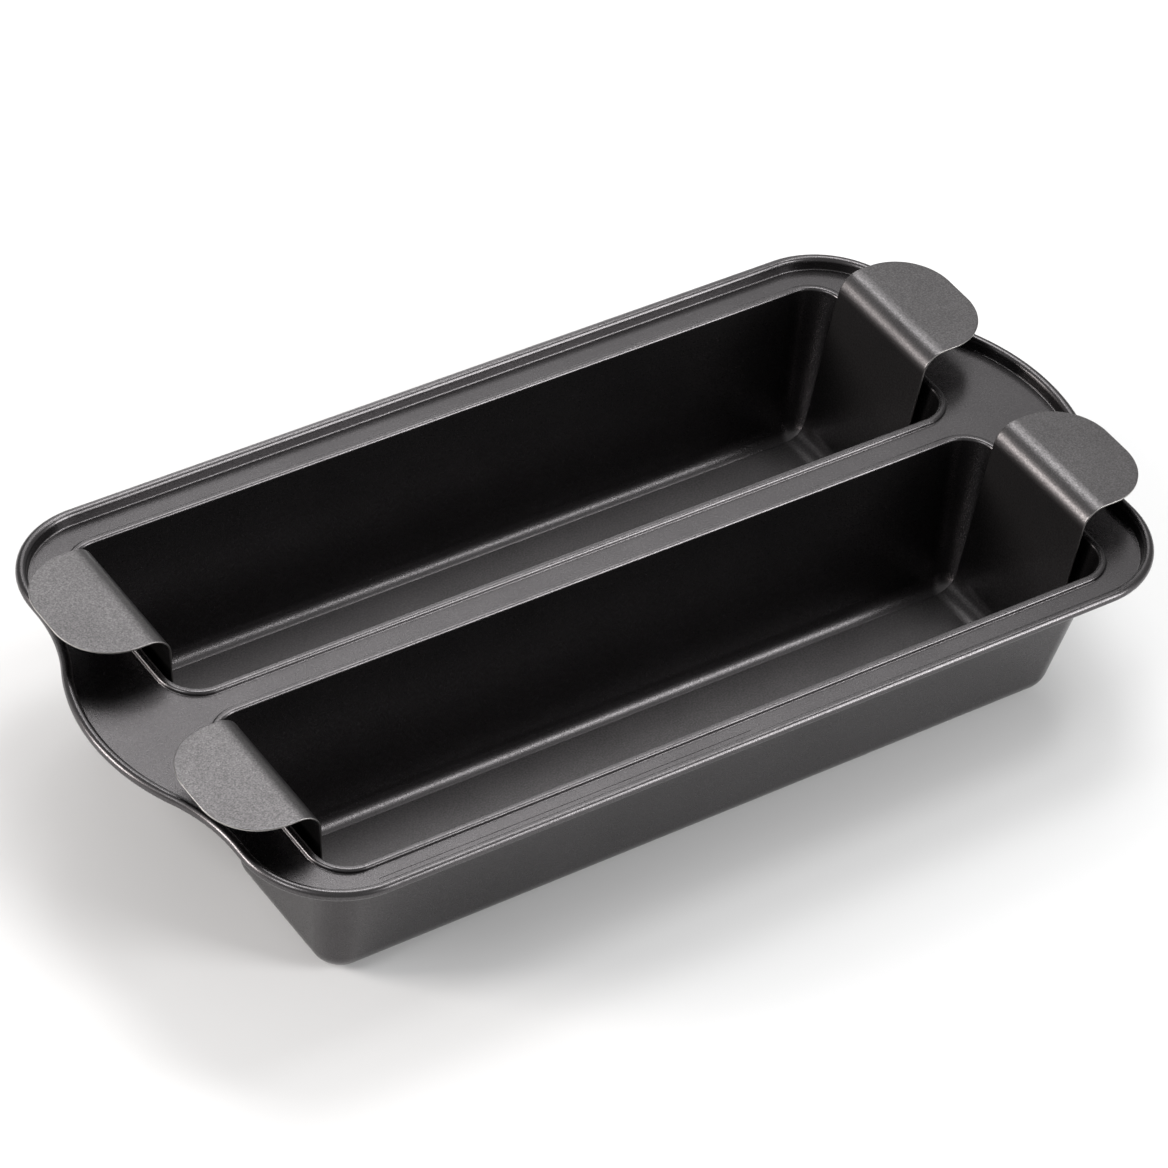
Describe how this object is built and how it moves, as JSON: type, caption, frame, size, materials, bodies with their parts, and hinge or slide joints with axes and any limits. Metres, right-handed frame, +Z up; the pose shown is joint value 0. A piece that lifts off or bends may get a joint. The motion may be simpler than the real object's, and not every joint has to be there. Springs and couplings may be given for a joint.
{
  "type": "lift-out baguette and loaf pan",
  "caption": "Non-stick sheet-steel baking pan with deep twin channels, lobed handle ends, a rolled rim and loose lift-out inserts with tab handles.",
  "frame": {"origin": "middle of the pan at the underside of its two well floors, which is what it stands on", "axes": "+X along the channels, +Y across them towards the back channel, +Z up out of the channels"},
  "size_m": [0.3906, 0.2036, 0.0757],
  "materials": {
    "pan_coating": "dark pewter non-stick coating with a fine metallic grain, satin",
    "insert_coating": "dark pewter non-stick coating with a slightly coarser metallic grain, satin",
    "wire_steel": "drawn mild steel wire, hidden inside the rolled rim"
  },
  "bodies": {
    "pan": {"pan_body": "pan_coating", "rim_wire": "wire_steel"},
    "back_lift_out": {"back_insert": "insert_coating"},
    "front_lift_out": {"front_insert": "insert_coating"}
  },
  "joints": [
    {"name": "back_insert_lift", "type": "slide", "parent": "pan", "child": "back_lift_out", "axis": [0, 0, 1], "range_m": [0, 0.09]},
    {"name": "front_insert_lift", "type": "slide", "parent": "pan", "child": "front_lift_out", "axis": [0, 0, 1], "range_m": [0, 0.09]}
  ]
}
